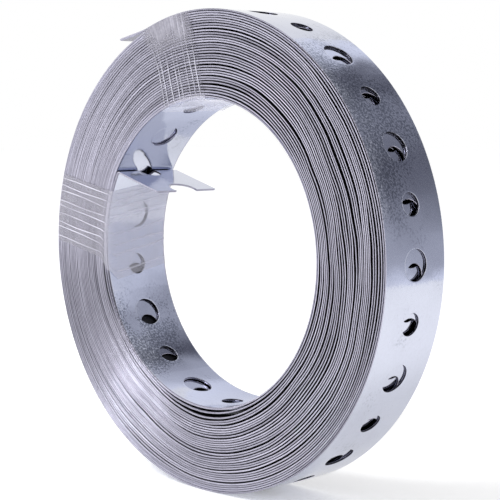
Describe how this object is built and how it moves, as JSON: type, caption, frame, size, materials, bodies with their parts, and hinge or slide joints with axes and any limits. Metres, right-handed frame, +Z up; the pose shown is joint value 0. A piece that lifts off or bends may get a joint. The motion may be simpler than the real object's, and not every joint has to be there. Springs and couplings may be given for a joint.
{
  "type": "coil of perforated mounting strap",
  "caption": "Coil of galvanised steel strap with alternating large and small holes, wound with an open bore and held by wraps of clear film.",
  "frame": {"origin": "on the floor, below the middle of the coil's outer box", "axes": "+Z up, +Y along the coil's axis from its near end to its far end, +X to the right seen from the near end"},
  "size_m": [0.1192, 0.0208, 0.119],
  "materials": {
    "zinc": "galvanised, satin",
    "film": "clear film, glossy"
  },
  "bodies": {
    "root": {"strap_coil": "zinc", "tape_wrap_top": "film", "tape_wrap_side": "film"}
  },
  "joints": []
}
